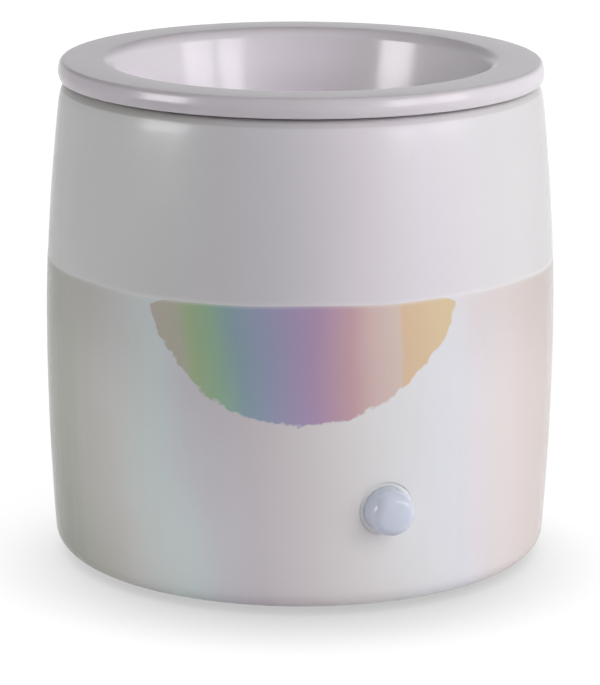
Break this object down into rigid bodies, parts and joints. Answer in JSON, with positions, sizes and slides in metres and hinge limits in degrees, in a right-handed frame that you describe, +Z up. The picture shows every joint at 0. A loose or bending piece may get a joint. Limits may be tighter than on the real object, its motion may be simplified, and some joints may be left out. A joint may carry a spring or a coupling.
{
  "type": "wax melt warmer",
  "caption": "Barrel-shaped glazed ceramic wax melt warmer: a lift-off melting dish stands on an electric hot plate inside a round body with a front push button.",
  "frame": {"origin": "on the barrel's axis, on the surface that the feet stand on", "axes": "+Z up along the barrel's axis, front towards -Y, the button right of the front on the +X side"},
  "size_m": [0.125, 0.1293, 0.1222],
  "materials": {
    "lustre_glaze": "pearl lustre glaze with a rainbow half-round on the front",
    "dish_glaze": "plain pearl glaze",
    "frosted_cap": "frosted translucent plastic",
    "guide_plastic": "satin plastic",
    "base_plastic": "moulded, fine texture",
    "foot_rubber": "soft, matt",
    "gland_rubber": "soft, matt",
    "heater_moulding": "heat-proof moulding",
    "plate_aluminium": "turned face",
    "silicone": "heat-proof silicone",
    "sheet_steel": "pressed, zinc plated",
    "fastener_steel": "zinc plated",
    "element_case": "extruded case",
    "mica": "flaky sheet",
    "fuse_body": "metal can",
    "board_laminate": "solder mask",
    "switch_plastic": "moulded",
    "shaft_plastic": "moulded",
    "lamp_lens": "clear resin",
    "capacitor_sleeve": "shrunk sleeve",
    "terminal_plastic": "moulded",
    "lead_insulation": "silicone insulation"
  },
  "bodies": {
    "housing": {"base_plate": "base_plastic", "base_screws": "fastener_steel", "board_screws": "fastener_steel", "body_shell": "lustre_glaze", "button_guide": "guide_plastic", "clamp_ring": "sheet_steel", "control_board": "board_laminate", "cord_gland": "gland_rubber", "deck_gasket": "silicone", "dropper_capacitor": "capacitor_sleeve", "fuse_clip": "sheet_steel", "fuse_screw": "fastener_steel", "heat_shield": "sheet_steel", "heater_carrier": "heater_moulding", "heater_leads": "lead_insulation", "heater_strap": "sheet_steel", "hot_plate": "plate_aluminium", "mica_sheet": "mica", "plate_screws": "fastener_steel", "power_relay": "switch_plastic", "ptc_heater": "element_case", "push_switch": "switch_plastic", "rubber_feet": "foot_rubber", "status_led": "lamp_lens", "strap_screws": "fastener_steel", "terminal_block": "terminal_plastic", "thermal_fuse": "fuse_body", "tie_pillars": "fastener_steel"},
    "dish": {"wax_dish": "dish_glaze"},
    "button": {"button_cap": "frosted_cap", "switch_shaft": "shaft_plastic"}
  },
  "joints": [
    {"name": "dish_lift", "type": "slide", "parent": "housing", "child": "dish", "axis": [0, 0, 1], "range_m": [0, 0.06]},
    {"name": "button_press", "type": "slide", "parent": "housing", "child": "button", "axis": [-0.3289, 0.9444, 0], "range_m": [0, 0.0015], "stiffness_N_per_m": 600, "springref_m": -0.0025}
  ]
}
